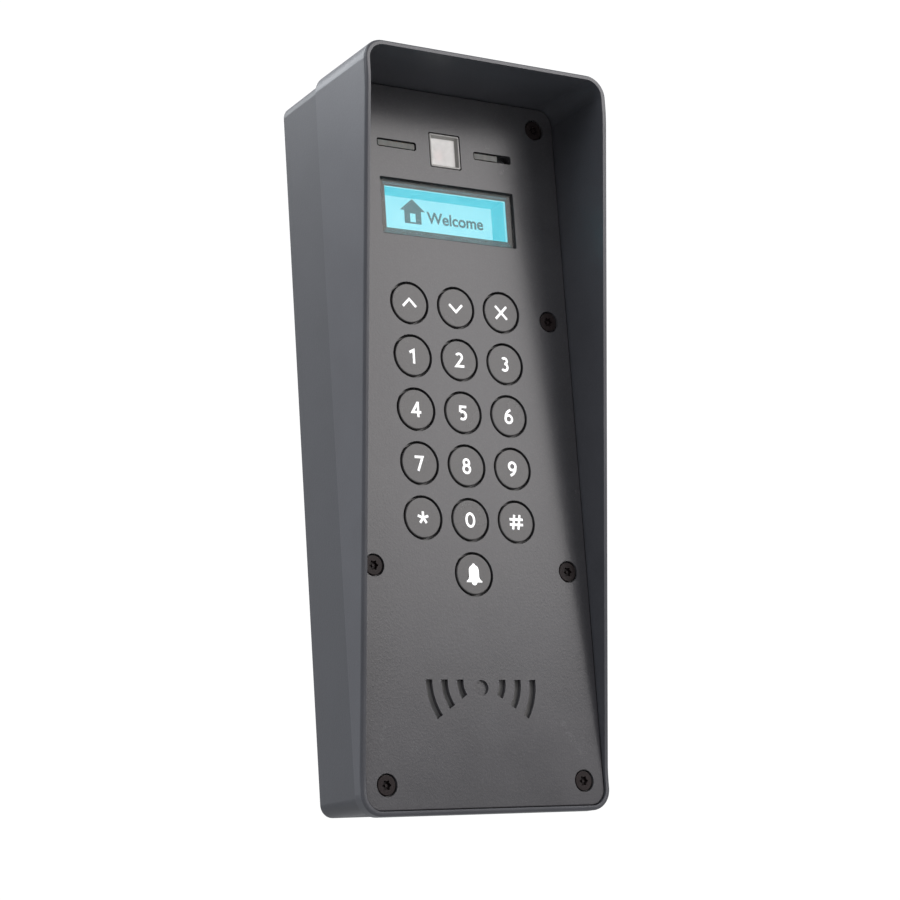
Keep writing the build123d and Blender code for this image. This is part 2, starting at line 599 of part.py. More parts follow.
with BuildPart() as microphone:
    with BuildSketch(front(PANEL_BACK - MIC_BOOT_SKIN)):
        with Locations((MIC_X, EYE_Z)):
            Circle(MIC_R)
    extrude(amount=BOARD_FRONT - PANEL_BACK + MIC_BOOT_SKIN)
    with BuildSketch(front(PANEL_BACK - MIC_BOOT_SKIN)):
        with Locations((MIC_X, EYE_Z)):
            Circle(MIC_INLET_R)
    extrude(amount=-MIC_INLET_DEPTH, mode=Mode.SUBTRACT)
finish(microphone.part, "microphone")


# ======================= display =======================
with BuildPart() as display_window:
    with BuildSketch(front(WINDOW_BACK)):
        with Locations((0, DISPLAY_Z)):
            RectangleRounded(*DISPLAY_WINDOW, WINDOW_RADIUS)
    extrude(amount=WINDOW_FRONT - WINDOW_BACK)
    fillet(display_window.faces().sort_by(Axis.Y)[0].edges(), WINDOW_FILLET)
finish(display_window.part, "display_window")

with BuildPart() as display_frame:
    with BuildSketch(front(WINDOW_BACK)):
        with Locations((0, DISPLAY_Z)):
            RectangleRounded(FRAME_W, FRAME_H, FRAME_RADIUS)
    extrude(amount=BOARD_FRONT - WINDOW_BACK)
    with BuildSketch(front(WINDOW_BACK - FRAME_SHEET)):
        with Locations((0, DISPLAY_Z)):
            Rectangle(FRAME_W - 2 * FRAME_WALL, FRAME_H - 2 * FRAME_WALL)
    extrude(amount=BOARD_FRONT - WINDOW_BACK, mode=Mode.SUBTRACT)
    with BuildSketch(front(WINDOW_BACK)):
        with Locations((0, DISPLAY_Z)):
            Rectangle(*DISPLAY_AREA)
    extrude(amount=-FRAME_SHEET, mode=Mode.SUBTRACT)
finish(display_frame.part, "display_frame")

with BuildPart() as display_glass:
    with BuildSketch(front(GLASS_BACK)):
        with Locations((0, DISPLAY_Z)):
            Rectangle(GLASS_W, GLASS_H)
    extrude(amount=GLASS_T)
finish(display_glass.part, "display_glass")

with BuildPart() as display_lamp_box:
    with BuildSketch(front(LAMP_BOX_BACK)):
        with Locations((0, DISPLAY_Z)):
            Rectangle(GLASS_W, GLASS_H)
    extrude(amount=GLASS_BACK - LAMP_BOX_BACK)
    with BuildSketch(front(LAMP_BOX_FLOOR)):
        with Locations((0, DISPLAY_Z)):
            Rectangle(*[side + 2 * LAMP_BOX_MARGIN for side in DISPLAY_AREA])
    extrude(amount=GLASS_BACK - LAMP_BOX_FLOOR, mode=Mode.SUBTRACT)
finish(display_lamp_box.part, "display_lamp_box")


# ======================= keypad =======================
def pen_stroke(*edges):
    """Faces of edges drawn with the legends' pen, with mitred corners."""
    return trace(list(edges), line_width=STROKE, mode=Mode.PRIVATE).faces()


def glyph_zero():
    with BuildSketch() as glyph:
        Ellipse(2.1, 2.85)
        Ellipse(2.1 - STROKE, 2.85 - STROKE, mode=Mode.SUBTRACT)
    return glyph.sketch


def glyph_one():
    return pen_stroke(Polyline((-1.3, 1.3), (0.45, 2.2), (0.45, -2.85), mode=Mode.PRIVATE))


def glyph_two():
    bowl = CenterArc((-0.05, 1.2), 1.25, 150, -195, mode=Mode.PRIVATE)
    foot = Polyline(bowl @ 1, (-1.35, -2.3), (2.0, -2.3), mode=Mode.PRIVATE)
    return pen_stroke(bowl) + pen_stroke(foot)


def glyph_three():
    upper = CenterArc((-0.1, 1.25), 1.1, 140, -230, mode=Mode.PRIVATE)
    lower = CenterArc((-0.15, -1.1), 1.3, 90, -235, mode=Mode.PRIVATE)
    return pen_stroke(upper) + pen_stroke(lower)


def glyph_four():
    post = Line((0.8, -2.85), (0.8, 2.85), mode=Mode.PRIVATE)
    arms = Polyline((0.6, 2.35), (-1.55, -1.05), (2.1, -1.05), mode=Mode.PRIVATE)
    return pen_stroke(post) + pen_stroke(arms)


def glyph_five():
    arms = Polyline((1.6, 2.3), (-1.05, 2.3), (-1.2, 0.35), mode=Mode.PRIVATE)
    bowl = CenterArc((-0.2, -0.95), 1.42, 130, -260, mode=Mode.PRIVATE)
    return pen_stroke(arms) + pen_stroke(bowl)


def glyph_six():
    with BuildSketch() as glyph:
        with Locations((0, -1.0)):
            Circle(1.9)
            Circle(1.9 - STROKE, mode=Mode.SUBTRACT)
        tail = ThreePointArc((-1.35, -0.9), (-0.75, 1.2), (1.0, 2.45), mode=Mode.PRIVATE)
        add(pen_stroke(tail))
    return glyph.sketch


def glyph_seven():
    return pen_stroke(Polyline((-1.95, 2.3), (1.35, 2.3), (-0.7, -2.85), mode=Mode.PRIVATE))


def glyph_eight():
    with BuildSketch() as glyph:
        with Locations((0, 1.35)):
            Circle(1.6)
        with Locations((0, -1.1)):
            Circle(1.85)
        with Locations((0, 1.4)):
            Circle(1.6 - STROKE, mode=Mode.SUBTRACT)
        with Locations((0, -1.15)):
            Circle(1.85 - STROKE, mode=Mode.SUBTRACT)
    return glyph.sketch


def glyph_nine():
    return glyph_six().rotate(Axis.Z, 180)


def glyph_star():
    with BuildSketch() as glyph:
        with PolarLocations(1.15, 5, start_angle=90):
            Rectangle(2.3, STROKE)
    return glyph.sketch


def glyph_hash():
    bars = [Line((-2.9, v), (2.9, v), mode=Mode.PRIVATE) for v in (-0.95, 1.0)]
    posts = [Line((u - 0.45, -2.75), (u + 0.45, 2.75), mode=Mode.PRIVATE) for u in (-1.15, 1.15)]
    with BuildSketch() as glyph:
        for line in bars + posts:
            add(pen_stroke(line))
    return glyph.sketch


def glyph_chevron(direction):
    tip, foot = 1.55 * direction, -1.25 * direction
    return pen_stroke(Polyline((-2.8, foot), (0, tip), (2.8, foot), mode=Mode.PRIVATE))


def glyph_cross():
    with BuildSketch() as glyph:
        Rectangle(7.0, STROKE, rotation=45)
        Rectangle(7.0, STROKE, rotation=-45)
    return glyph.sketch


def glyph_bell():
    with BuildSketch() as glyph:
        with BuildLine():
            Line((-3.3, -2.9), (-3.3, -2.45))
            ThreePointArc((-3.3, -2.45), (-2.35, -1.55), (-2.1, -0.2))
            Line((-2.1, -0.2), (-2.1, 1.3))
            ThreePointArc((-2.1, 1.3), (-1.6, 2.75), (-0.6, 3.4))
            ThreePointArc((-0.6, 3.4), (0, 4.0), (0.6, 3.4))
            ThreePointArc((0.6, 3.4), (1.6, 2.75), (2.1, 1.3))
            Line((2.1, 1.3), (2.1, -0.2))
            ThreePointArc((2.1, -0.2), (2.35, -1.55), (3.3, -2.45))
            Polyline((3.3, -2.45), (3.3, -2.9), (-3.3, -2.9))
        make_face()
        with Locations((0, -2.85)):
            Circle(1.15)
    return glyph.sketch


GLYPHS = {
    "up": glyph_chevron(1),
    "down": glyph_chevron(-1),
    "cancel": glyph_cross(),
    "1": glyph_one(),
    "2": glyph_two(),
    "3": glyph_three(),
    "4": glyph_four(),
    "5": glyph_five(),
    "6": glyph_six(),
    "7": glyph_seven(),
    "8": glyph_eight(),
    "9": glyph_nine(),
    "star": glyph_star(),
    "0": glyph_zero(),
    "hash": glyph_hash(),
    "bell": glyph_bell(),
}

for name, key_x, key_z in KEYS:
    with BuildPart() as key_cap:
        with BuildSketch(key_face(key_x, key_z)):
            Circle(KEY_R)
        extrude(amount=KEY_LIP_BACK - FACE)
        fillet(key_cap.faces().sort_by(Axis.Y)[0].edges(), KEY_EDGE_FILLET)
        with BuildSketch(key_face(key_x, key_z, KEY_LIP_FRONT)):
            Circle(KEY_LIP_R)
        extrude(amount=KEY_LIP_BACK - KEY_LIP_FRONT)
        with BuildSketch(key_face(key_x, key_z, KEY_LIP_BACK)):
            Circle(KEY_R - KEY_WALL)
        extrude(amount=FACE - KEY_WALL - KEY_LIP_BACK, mode=Mode.SUBTRACT)
        with BuildSketch(key_face(key_x, key_z, DOME_TOP)):
            Circle(KEY_POST_R)
        extrude(amount=FACE - KEY_WALL - DOME_TOP)
        with BuildSketch(key_face(key_x, key_z)):
            add(GLYPHS[name])
        extrude(amount=-LEGEND_DEPTH, mode=Mode.SUBTRACT)
        if name == "5":
            with BuildSketch(key_face(key_x, key_z - PIP_DROP, FACE - LEGEND_DEPTH)):
                Circle(PIP_R)
            extrude(amount=LEGEND_DEPTH + PIP_HEIGHT)
            fillet(key_cap.faces().sort_by(Axis.Y)[0].edges(), PIP_FILLET)
    finish(key_cap.part, f"key_{name}_cap")

    with BuildPart() as key_legend:
        with BuildSketch(key_face(key_x, key_z)):
            add(GLYPHS[name])
            if name == "5":
                with Locations((0, -PIP_DROP)):
                    Circle(PIP_R, mode=Mode.SUBTRACT)
        extrude(amount=-LEGEND_DEPTH)
    finish(key_legend.part, f"key_{name}_legend")

with BuildPart() as keypad_mat:
    with BuildSketch(front(BOARD_FRONT)):
        with Locations((0, MAT_Z)):
            RectangleRounded(MAT_W, MAT_H, MAT_RADIUS)
    extrude(amount=MAT_T)
    with BuildSketch(front(BOARD_FRONT + MAT_T)):
        with Locations(*KEY_POINTS):
            Circle(DOME_R)
    extrude(amount=DOME_TOP - BOARD_FRONT - MAT_T, taper=DOME_TAPER)
finish(keypad_mat.part, "keypad_mat")


# ======================= loudspeaker =======================
SPEAKER_PLANE = Plane.XY.offset(SPEAKER_Z)
SPEAKER_AXIS = Axis((0, 0, SPEAKER_Z), (0, 1, 0))
with BuildPart() as loudspeaker:
    with BuildSketch(SPEAKER_PLANE):
        with BuildLine():
            Polyline(*section_points(BASKET), close=True)
        make_face()
    revolve(axis=SPEAKER_AXIS)
finish(loudspeaker.part, "loudspeaker")


def cone_surface(behind):
    """Section line from the cone's rim to the axis, this far behind its front surface."""
    rim = behind - CONE_RIM_FRONT
    roll_start, roll_end = SURROUND_R + SURROUND_W, SURROUND_R - SURROUND_W
    Line((CONE_RIM_R, rim), (roll_start, rim))
    ThreePointArc((roll_start, rim), (SURROUND_R, rim - SURROUND_H), (roll_end, rim))
    Line((roll_end, rim), (DUST_CAP_R, behind - DUST_CAP_RIM))
    return dome_arc(DUST_CAP_R, DUST_CAP_RIM - behind, DUST_CAP_CROWN - behind)


with BuildPart() as speaker_cone:
    with BuildSketch(SPEAKER_PLANE):
        with BuildLine():
            front_cap = cone_surface(0)
            back_cap = cone_surface(CONE_T)
            Line(front_cap @ 1, back_cap @ 1)
            Line((CONE_RIM_R, -CONE_RIM_FRONT), (CONE_RIM_R, CONE_T - CONE_RIM_FRONT))
        make_face()
    revolve(axis=SPEAKER_AXIS)
finish(speaker_cone.part, "speaker_cone")

with BuildPart() as speaker_gasket:
    with BuildSketch(front(CONE_RIM_FRONT)):
        with Locations((0, SPEAKER_Z)):
            Circle(SPEAKER_R - SPEAKER_GASKET_PLAY)
            Circle(SPEAKER_R - SPEAKER_GASKET_PLAY - SPEAKER_GASKET_W, mode=Mode.SUBTRACT)
    extrude(amount=PANEL_BACK - CONE_RIM_FRONT)
finish(speaker_gasket.part, "speaker_gasket")


# ======================= main board and its connectors =======================
with BuildPart() as main_board:
    with BuildSketch(front(BOARD_BACK)):
        with Locations((0, BOARD_Z)):
            RectangleRounded(BOARD_W, BOARD_H, BOARD_RADIUS)
        with Locations(*BOARD_POINTS):
            Circle(MODULE_SCREW_HOLE_R, mode=Mode.SUBTRACT)
        with Locations((0, EYE_Z)):
            Rectangle(CAMERA_CUTOUT, CAMERA_CUTOUT, mode=Mode.SUBTRACT)
        with Locations((0, DISPLAY_Z)):
            Rectangle(
                GLASS_W + 2 * DISPLAY_CUTOUT_PLAY,
                GLASS_H + 2 * DISPLAY_CUTOUT_PLAY,
                mode=Mode.SUBTRACT,
            )
    extrude(amount=BOARD_FRONT - BOARD_BACK)
    # chips on the rear
    with BuildSketch(front(BOARD_BACK)):
        for chip_x, chip_z, chip_w, chip_h in CHIPS:
            with Locations((chip_x, chip_z)):
                Rectangle(chip_w, chip_h)
    extrude(amount=-CHIP_T)
    # supply capacitors
    with BuildSketch(front(BOARD_BACK)):
        with Locations(*CAPACITORS):
            Circle(CAPACITOR_R)
    extrude(amount=-CAPACITOR_H)
finish(main_board.part, "main_board")

with BuildPart() as network_jack:
    with BuildSketch(front(JACK_BACK)):
        with Locations((JACK_X, JACK_Z)):
            Rectangle(JACK_SIZE, JACK_SIZE)
    extrude(amount=BOARD_BACK - JACK_BACK)
    # socket for the plug, with the notch for its latch
    with BuildSketch(front(JACK_BACK)):
        with Locations((JACK_X, JACK_Z)):
            Rectangle(PLUG_W, PLUG_H)
        with Locations((JACK_X, JACK_Z - LATCH_DROP)):
            Rectangle(LATCH_W, LATCH_H)
    extrude(amount=PLUG_DEPTH, mode=Mode.SUBTRACT)
finish(network_jack.part, "network_jack")

with BuildPart() as terminal_block:
    with BuildSketch(front(TERMINAL_BACK)):
        with Locations((0, TERMINAL_Z)):
            Rectangle(TERMINAL_W, TERMINAL_H)
    extrude(amount=BOARD_BACK - TERMINAL_BACK)
    with BuildSketch(front(TERMINAL_BACK)):
        with Locations((0, TERMINAL_Z - WIRE_DROP)):
            with GridLocations(TERMINAL_PITCH, 1, TERMINAL_WAYS, 1):
                Rectangle(WIRE_W, WIRE_H)
        with Locations((0, TERMINAL_Z + CLAMP_RISE)):
            with GridLocations(TERMINAL_PITCH, 1, TERMINAL_WAYS, 1):
                Circle(CLAMP_R)
    extrude(amount=TERMINAL_DEPTH, mode=Mode.SUBTRACT)
finish(terminal_block.part, "terminal_block")

with BuildPart() as module_cover:
    with BuildSketch(front(COVER_BACK)):
        RectangleRounded(COVER_W, COVER_H, COVER_RADIUS)
    extrude(amount=PANEL_BACK - COVER_BACK)
    fillet(module_cover.faces().sort_by(Axis.Y)[-1].edges(), COVER_REAR_FILLET)
    with BuildSketch(front(COVER_BACK + COVER_T)):
        RectangleRounded(COVER_W - 2 * COVER_T, COVER_H - 2 * COVER_T, COVER_RADIUS - COVER_T)
    extrude(amount=PANEL_BACK, mode=Mode.SUBTRACT)
    with BuildSketch(front(COVER_BACK + COVER_T)):
        with Locations(*BOARD_POINTS, *END_POINTS):
            Circle(COVER_POST_R)
    extrude(amount=BOARD_BACK - COVER_BACK - COVER_T)
    with BuildSketch(front(COVER_BACK)):
        with Locations(*BOARD_POINTS, *END_POINTS):
            Circle(MODULE_SCREW_HOLE_R)
    extrude(amount=PANEL_BACK, mode=Mode.SUBTRACT)
    with BuildSketch(front(COVER_BACK)):
        with Locations(*BOARD_POINTS, *END_POINTS):
            Circle(MODULE_HEAD_WELL_R)
        with Locations((JACK_X, JACK_Z)):
            Rectangle(JACK_SIZE + 2 * COVER_PLAY, JACK_SIZE + 2 * COVER_PLAY)
        with Locations((0, TERMINAL_Z)):
            Rectangle(TERMINAL_W + 2 * COVER_PLAY, TERMINAL_H + 2 * COVER_PLAY)
    extrude(amount=MODULE_SCREW_SEAT - COVER_BACK, mode=Mode.SUBTRACT)
finish(module_cover.part, "module_cover")

with BuildPart() as module_screws:
    with BuildSketch(front(MODULE_SCREW_SEAT)):
        with Locations(*BOARD_POINTS, *END_POINTS):
            Circle(MODULE_SCREW_R)
    extrude(amount=MODULE_SCREW_L)
    with BuildSketch(front(MODULE_SCREW_SEAT)):
        with Locations(*BOARD_POINTS, *END_POINTS):
            Circle(MODULE_HEAD_R)
    extrude(amount=-MODULE_HEAD_H)
    with BuildSketch(front(MODULE_SCREW_SEAT - MODULE_HEAD_H)):
        with Locations(*BOARD_POINTS, *END_POINTS):
            Rectangle(CROSS_L, CROSS_W)
            Rectangle(CROSS_W, CROSS_L)
    extrude(amount=CROSS_DEPTH, mode=Mode.SUBTRACT)
finish(module_screws.part, "module_screws")
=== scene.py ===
"""Door intercom panel: finishes, display picture, studio light and camera round the CAD model.

Everything is in metres in the CAD frame: +Z up, the wall at Y = 0, the panel facing -Y.
"""

import math

import bmesh
import bpy
from mathutils import Matrix, Vector


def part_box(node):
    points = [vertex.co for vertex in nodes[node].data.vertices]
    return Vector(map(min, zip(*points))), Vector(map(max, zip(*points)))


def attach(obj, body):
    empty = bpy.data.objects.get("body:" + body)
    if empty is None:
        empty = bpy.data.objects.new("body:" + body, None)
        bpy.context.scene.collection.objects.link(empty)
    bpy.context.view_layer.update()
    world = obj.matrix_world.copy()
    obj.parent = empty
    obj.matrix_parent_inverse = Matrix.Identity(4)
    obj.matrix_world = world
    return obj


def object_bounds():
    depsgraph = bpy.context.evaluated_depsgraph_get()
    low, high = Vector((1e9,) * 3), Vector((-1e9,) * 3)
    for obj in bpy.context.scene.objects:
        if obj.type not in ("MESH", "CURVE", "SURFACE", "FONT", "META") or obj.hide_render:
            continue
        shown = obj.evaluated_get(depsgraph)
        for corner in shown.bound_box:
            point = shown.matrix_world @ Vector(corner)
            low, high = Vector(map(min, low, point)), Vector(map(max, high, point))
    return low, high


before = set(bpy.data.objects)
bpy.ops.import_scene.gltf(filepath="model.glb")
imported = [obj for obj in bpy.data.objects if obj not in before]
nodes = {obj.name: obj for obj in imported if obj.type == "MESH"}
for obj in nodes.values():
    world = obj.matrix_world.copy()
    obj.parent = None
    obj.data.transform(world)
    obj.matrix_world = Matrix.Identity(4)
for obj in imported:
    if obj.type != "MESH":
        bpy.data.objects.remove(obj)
cad_low, cad_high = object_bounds()
MM = 0.001


# ---- material helpers ------------------------------------------------------------
class Finish:
    """One procedural material, patterned in object coordinates, which are metres here."""

    def __init__(self, name, roughness=0.5, **sockets):
        self.material = bpy.data.materials.new(name)
        self.material.use_nodes = True
        self.tree = self.material.node_tree
        self.shader = self.tree.nodes["Principled BSDF"]
        self.place = self.add("TexCoord").outputs["Object"]
        self.shader.inputs["Roughness"].default_value = roughness
        for socket, value in sockets.items():
            self.shader.inputs[socket.replace("_", " ")].default_value = value

    def add(self, kind, **settings):
        node = self.tree.nodes.new("ShaderNode" + kind)
        for name, value in settings.items():
            setattr(node, name, value)
        return node

    def link(self, source, target):
        self.tree.links.new(source, target)

    def noise(self, size, detail=2.0, stretch=(1, 1, 1)):
        """Noise whose features are about `size` metres across."""
        mapping = self.add("Mapping")
        mapping.inputs["Scale"].default_value = [s / size for s in stretch]
        self.link(self.place, mapping.inputs["Vector"])
        noise = self.add("TexNoise")
        noise.inputs["Scale"].default_value = 1.0
        noise.inputs["Detail"].default_value = detail
        self.link(mapping.outputs["Vector"], noise.inputs["Vector"])
        return noise.outputs["Fac"]

    def spread(self, value, low, high, start=0.3, end=0.7):
        """The value's start to end range, spread over low to high."""
        span = self.add("MapRange")
        self.link(value, span.inputs["Value"])
        for name, number in zip(("From Min", "From Max", "To Min", "To Max"), (start, end, low, high)):
            span.inputs[name].default_value = number
        return span.outputs["Result"]

    def mix(self, factor, first, second):
        """Colour between two, each an RGB tuple or a socket."""
        mix = self.add("Mix", data_type="RGBA")
        self.link(factor, mix.inputs["Factor"])
        for socket, colour in ((mix.inputs["A"], first), (mix.inputs["B"], second)):
            if isinstance(colour, tuple):
                socket.default_value = (*colour, 1)
            else:
                self.link(colour, socket)
        return mix.outputs["Result"]

    def edges(self, radius):
        """1 on convex and concave edges within this radius, 0 on flat ground."""
        bevel = self.add("Bevel", samples=4)
        bevel.inputs["Radius"].default_value = radius
        geometry = self.add("NewGeometry")
        dot = self.add("VectorMath", operation="DOT_PRODUCT")
        self.link(bevel.outputs["Normal"], dot.inputs[0])
        self.link(geometry.outputs["Normal"], dot.inputs[1])
        return self.spread(dot.outputs["Value"], 1, 0, 0.86, 0.995)

    def set(self, socket, value):
        self.link(value, self.shader.inputs[socket])

    def bump(self, *layers):
        """Stacks (height, distance in metres) layers, coarsest first, onto the normal."""
        normal = None
        for height, distance in layers:
            bump = self.add("Bump")
            bump.inputs["Distance"].default_value = distance
            self.link(height, bump.inputs["Height"])
            if normal:
                self.link(normal, bump.inputs["Normal"])
            normal = bump.outputs["Normal"]
        self.link(normal, self.shader.inputs["Normal"])

    def wear(self, *names):
        """Puts this finish on CAD nodes."""
        for name in names:
            mesh = nodes[name].data
            mesh.materials.clear()
            mesh.materials.append(self.material)


def middle_of(name):
    low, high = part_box(name)
    return (low + high) / 2


def shade(colour, factor):
    return tuple(channel * factor for channel in colour)


# ---- coated metal and the key caps -------------------------------------------------
def powder_coat(name, colour, roughness, peel_depth=0.024 * MM, grain_depth=0.013 * MM, wear=1.7):
    """Fine-texture powder coat: speckle, orange peel, cloudy gloss and paler edges, partly edge wear and
    partly a painted edge highlight.
    """
    coat = Finish(name)
    cloud = coat.noise(22 * MM, 3)
    speckle = coat.noise(0.35 * MM, 2)
    peel = coat.noise(0.8 * MM, 1)
    base = coat.mix(coat.spread(cloud, 0, 1), shade(colour, 0.92), shade(colour, 1.08))
    base = coat.mix(coat.spread(speckle, 0, 0.4, 0.5, 0.75), base, shade(colour, 1.45))
    # paler edges from the Bevel mask: partly edge wear, partly a painted highlight along the edges
    worn_and_highlit = coat.mix(coat.spread(coat.edges(0.5 * MM), 0, 0.6, 0, 1), base, shade(colour, wear))
    coat.set("Base Color", worn_and_highlit)
    mottle = coat.mix(coat.spread(speckle, 0, 0.25), coat.mix(cloud, (0, 0, 0), (1, 1, 1)), (0.5,) * 3)
    coat.set("Roughness", coat.spread(mottle, roughness - 0.03, roughness + 0.04, 0.2, 0.8))
    coat.bump((peel, peel_depth), (coat.noise(0.3 * MM, 2), grain_depth))
    return coat


powder_coat("hood_coat", (0.064, 0.065, 0.073), 0.32).wear("rain_hood")
powder_coat("box_coat", (0.046, 0.047, 0.053), 0.38).wear("back_box")
powder_coat("panel_coat", (0.064, 0.062, 0.066), 0.25, wear=1.0).wear("front_panel")

caps = powder_coat("key_plastic", (0.062, 0.059, 0.059), 0.26, 0.012 * MM, 0.006 * MM, 1.3)
caps.wear(*[n for n in nodes if n.endswith("_cap")])

legend = Finish("legend_white", 0.35, Emission_Color=(1, 1, 1, 1), Emission_Strength=0.45)
legend.set("Base Color", legend.mix(legend.spread(legend.noise(0.8 * MM), 0, 1), (0.82,) * 3, (0.92,) * 3))
legend.bump((legend.noise(0.25 * MM), 0.003 * MM))
legend.wear(*[n for n in nodes if n.endswith("_legend")])


# ---- rubber, foam, plastics and metals ------------------------------------------------
def moulded(name, colour, roughness, grain=0.4 * MM, depth=0.008 * MM, vary=0.15, **sockets):
    """Matte moulded plastic or rubber: mottled tone, grain and uneven gloss."""
    finish = Finish(name, roughness, **sockets)
    tone = finish.spread(finish.noise(6 * MM, 3), 0, 1)
    finish.set("Base Color", finish.mix(tone, shade(colour, 1 - vary), shade(colour, 1 + vary)))
    grains = finish.noise(grain, 2)
    finish.set("Roughness", finish.spread(grains, roughness - 0.06, roughness + 0.08))
    finish.bump((grains, depth))
    return finish


def rolled(name, colour, roughness, stretch, **sockets):
    """Metal with fine drawn lines along the axis that stretch leaves smallest."""
    finish = Finish(name, roughness, Metallic=1.0, **sockets)
    lines = finish.noise(0.35 * MM, 3, stretch)
    cloud = finish.spread(finish.noise(3 * MM), 0, 1)
    finish.set("Base Color", finish.mix(cloud, shade(colour, 0.85), shade(colour, 1.12)))
    finish.set("Roughness", finish.spread(lines, roughness - 0.08, roughness + 0.12))
    finish.bump((lines, 0.004 * MM))
    return finish


rubber = moulded("rubber_black", (0.012, 0.012, 0.013), 0.62)
rubber.wear("cable_grommet", "box_seal", "panel_gasket", "microphone_boot")
moulded("foam_black", (0.03, 0.03, 0.03), 0.9, 0.5 * MM, 0.08 * MM).wear("speaker_gasket")
moulded("silicone_grey", (0.42, 0.43, 0.43), 0.45, Subsurface_Weight=0.2).wear("keypad_mat")
moulded("module_black", (0.022, 0.022, 0.024), 0.4).wear("camera_module")
moulded("connector_black", (0.025, 0.025, 0.025), 0.45).wear("network_jack")
moulded("terminal_green", (0.03, 0.22, 0.08), 0.4).wear("terminal_block")
moulded("cover_plastic", (0.05, 0.05, 0.052), 0.5, 0.6 * MM, 0.02 * MM).wear("module_cover")
moulded("speaker_paper", (0.03, 0.029, 0.028), 0.8, 0.5 * MM, 0.05 * MM).wear("speaker_cone")
moulded("board_green", (0.012, 0.11, 0.045), 0.35, 1.2 * MM, 0.01 * MM, 0.3).wear("main_board")
rolled("speaker_steel", (0.45, 0.45, 0.46), 0.35, (1, 0.05, 1)).wear("loudspeaker")
rolled("screw_zinc", (0.62, 0.62, 0.60), 0.3, (1, 0.2, 1)).wear("module_screws")
rolled("capsule_metal", (0.60, 0.60, 0.60), 0.3, (1, 0.2, 1)).wear("microphone")
moulded("screw_black", (0.022, 0.016, 0.016), 0.36, 0.3 * MM, 0.01 * MM,
        Specular_IOR_Level=0.14).wear("panel_screws")


# ---- camera window and light pipes ------------------------------------------------------
moulded("bezel_silver", (0.36, 0.35, 0.33), 0.24, 0.3 * MM, 0.004 * MM, 0.08,
        Coat_Weight=0.3).wear("camera_bezel")


SLANT_POWER = 5                                # how late the gloss comes up at a slant


def see_through(name, haze, haze_colour, roughness, shine, **sockets):
    """Thin clear sheet: open behind, with a hazy share and a gloss that grows at a slant."""
    sheet = Finish(name, roughness, **sockets)
    tone = sheet.spread(sheet.noise(4 * MM, 3), 0.93, 1.0)
    sheet.set("Base Color", sheet.mix(tone, shade(haze_colour, 0.6), haze_colour))
    sheet.bump((sheet.noise(9 * MM, 1), 0.006 * MM))
    open_part = sheet.add("BsdfTransparent")
    body = sheet.add("MixShader")
    cover = sheet.spread(sheet.noise(2.5 * MM, 2), haze * 0.94, min(1.0, haze * 1.06))
    sheet.link(cover, body.inputs["Fac"])
    sheet.link(open_part.outputs["BSDF"], body.inputs[1])
    sheet.link(sheet.shader.outputs["BSDF"], body.inputs[2])
    gloss = sheet.add("BsdfGlossy")
    gloss.inputs["Roughness"].default_value = roughness
    slant = sheet.add("LayerWeight")
    slant.inputs["Blend"].default_value = 0.5
    steep = sheet.add("Math", operation="POWER")
    steep.inputs[1].default_value = SLANT_POWER
    sheet.link(slant.outputs["Facing"], steep.inputs[0])
    whole = sheet.add("MixShader")
    sheet.link(sheet.spread(steep.outputs["Value"], *shine, 0, 1), whole.inputs["Fac"])
    sheet.link(body.outputs["Shader"], whole.inputs[1])
    sheet.link(gloss.outputs["BSDF"], whole.inputs[2])
    sheet.link(whole.outputs["Shader"], sheet.tree.nodes["Material Output"].inputs["Surface"])
    return sheet


# the frosted pane's emission is a painted glow that brightens the pane; no lamp stands behind it
see_through("pane_frosted", 0.42, (0.84, 0.83, 0.82), 0.12, (0.008, 0.5),
            Emission_Color=(1.0, 0.97, 0.94, 1), Emission_Strength=0.30).wear("camera_pane")
see_through("window_clear", 0.004, (0.5, 0.6, 0.6), 0.05, (0.003, 0.4)).wear("display_window")
see_through("display_cell", 0.01, (0.3, 0.6, 0.65), 0.1, (0.0, 0.02)).wear("display_glass")

lens = Finish("lens_glass", 0.08, Coat_Weight=1.0)
tint = lens.spread(lens.noise(1.2 * MM), 0, 1)
lens.set("Base Color", lens.mix(tint, (0.55, 0.16, 0.16), (0.75, 0.3, 0.27)))
lens.wear("camera_lens")

pipe = Finish("light_pipe_clear", 0.16, Subsurface_Weight=0.35, Subsurface_Scale=0.002,
              Specular_IOR_Level=0.35)
streaks = pipe.noise(2.4 * MM, 2, (1, 0.3, 0.15))
pipe.set("Base Color", pipe.mix(pipe.spread(streaks, 0, 1), (0.055, 0.060, 0.052), (0.095, 0.10, 0.088)))
pipe.bump((streaks, 0.02 * MM))
pipe.wear("light_pipe_left", "light_pipe_right")


# ---- display -----------------------------------------------------------------------------
moulded("display_bezel", (0.17, 0.163, 0.155), 0.6, 0.25 * MM, 0.002 * MM, 0.04).wear("display_frame")


def lit_box():
    """Lamp box of the display: a pale lit floor between walls painted a deeper cyan as shade."""
    lamp = Finish("display_lamp", 0.6)
    geometry = lamp.add("NewGeometry")
    facing = lamp.add("SeparateXYZ")
    lamp.link(geometry.outputs["Normal"], facing.inputs["Vector"])
    is_floor = lamp.spread(facing.outputs["Y"], 1, 0, -0.9, -0.5)
    ripple = lamp.spread(lamp.noise(5 * MM, 1), 0, 1)
    # walls facing sideways get a darker emission and colour than the floor: painted shade of the display
    # frame on the lamp box walls
    walls = lamp.mix(ripple, (0.075, 0.50, 0.61), (0.105, 0.56, 0.67))
    floor = lamp.mix(ripple, (0.315, 0.75, 0.85), (0.345, 0.78, 0.87))
    lamp.set("Emission Color", lamp.mix(is_floor, walls, floor))
    lamp.set("Base Color", lamp.mix(is_floor, (0.04, 0.10, 0.11), (0.05, 0.12, 0.13)))
    lamp.shader.inputs["Emission Strength"].default_value = 1.0
    return lamp


lit_box().wear("display_lamp_box")

